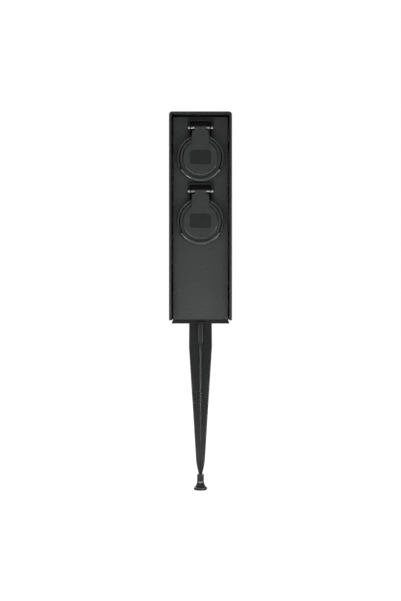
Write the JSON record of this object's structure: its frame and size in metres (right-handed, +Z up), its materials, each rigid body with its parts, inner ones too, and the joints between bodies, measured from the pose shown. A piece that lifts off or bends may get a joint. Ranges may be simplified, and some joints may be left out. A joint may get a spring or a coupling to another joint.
{
  "type": "garden socket post",
  "caption": "Outdoor post with a weather hood and round, spring-lidded plug sockets, one above the other, on a cross-shaped ground spike with a tip guard.",
  "frame": {"origin": "on the spike's axis at the soil line, where the underside of the base cap rests", "axes": "+Z up the post, -Y out of the front panel towards the user, +X to the right seen from the front"},
  "size_m": [0.075, 0.083, 0.4564],
  "materials": {
    "powder_coated_metal": "fine-textured powder coat, satin",
    "housing_plastic": "finely grained, matt",
    "socket_plastic": "satin",
    "lid_plastic": "satin",
    "spike_plastic": "moulded, satin",
    "guard_plastic": "glossy",
    "gland_plastic": "satin",
    "insulating_plastic": "matt",
    "black_rubber": "matt",
    "stainless_steel": "turned",
    "spring_steel": "bright drawn wire",
    "zinc_steel": "zinc plated",
    "brass": "stamped",
    "nickelled_brass": "nickel plated",
    "brown_insulation": "smooth",
    "blue_insulation": "smooth",
    "green_yellow_insulation": "smooth"
  },
  "bodies": {
    "post": {"hood": "powder_coated_metal", "hood_screws": "stainless_steel", "inner_housing": "housing_plastic", "rear_gasket": "black_rubber", "rear_cover": "housing_plastic", "rear_cover_screws": "stainless_steel", "base_cap": "housing_plastic", "base_cap_screws": "stainless_steel", "ground_spike": "spike_plastic", "spike_bolt": "stainless_steel", "spike_washer": "stainless_steel", "gland_body": "gland_plastic", "gland_washer": "black_rubber", "gland_seal": "black_rubber", "gland_cap_nut": "gland_plastic", "gland_locknut": "gland_plastic", "terminal_block": "insulating_plastic", "terminal_clamps": "brass", "clamp_screws": "zinc_steel", "block_screws": "zinc_steel", "live_wires": "brown_insulation", "neutral_wires": "blue_insulation", "earth_wires": "green_yellow_insulation", "bond_wire": "green_yellow_insulation", "bond_lug": "nickelled_brass", "bond_screw": "stainless_steel", "upper_flange_gasket": "black_rubber", "upper_socket_flange": "socket_plastic", "upper_socket_body": "socket_plastic", "upper_socket_insert": "socket_plastic", "upper_locking_ring": "socket_plastic", "upper_hinge_pin": "stainless_steel", "upper_lid_springs": "spring_steel", "upper_live_contact": "brass", "upper_neutral_contact": "brass", "upper_earth_bracket": "nickelled_brass", "upper_terminal_screws": "zinc_steel", "upper_contact_cover": "insulating_plastic", "upper_contact_cover_screws": "zinc_steel", "lower_flange_gasket": "black_rubber", "lower_socket_flange": "socket_plastic", "lower_socket_body": "socket_plastic", "lower_socket_insert": "socket_plastic", "lower_locking_ring": "socket_plastic", "lower_hinge_pin": "stainless_steel", "lower_lid_springs": "spring_steel", "lower_live_contact": "brass", "lower_neutral_contact": "brass", "lower_earth_bracket": "nickelled_brass", "lower_terminal_screws": "zinc_steel", "lower_contact_cover": "insulating_plastic", "lower_contact_cover_screws": "zinc_steel"},
    "upper_lid_body": {"upper_lid": "lid_plastic", "upper_lid_seal": "black_rubber"},
    "lower_lid_body": {"lower_lid": "lid_plastic", "lower_lid_seal": "black_rubber"},
    "tip_guard_body": {"tip_guard": "guard_plastic"}
  },
  "joints": [
    {"name": "upper_lid_hinge", "type": "hinge", "parent": "post", "child": "upper_lid_body", "pos_m": [0, -0.0321, 0.234], "axis": [-1, 0, 0], "range_deg": [0, 110], "stiffness_Nm_per_rad": 0.01, "springref_deg": -45.84, "deforming": ["upper_lid_springs"]},
    {"name": "lower_lid_hinge", "type": "hinge", "parent": "post", "child": "lower_lid_body", "pos_m": [0, -0.0321, 0.1581], "axis": [-1, 0, 0], "range_deg": [0, 110], "stiffness_Nm_per_rad": 0.01, "springref_deg": -45.84, "deforming": ["lower_lid_springs"]},
    {"name": "tip_guard_pull", "type": "slide", "parent": "post", "child": "tip_guard_body", "axis": [0, 0, -1], "range_m": [0, 0.014]}
  ]
}
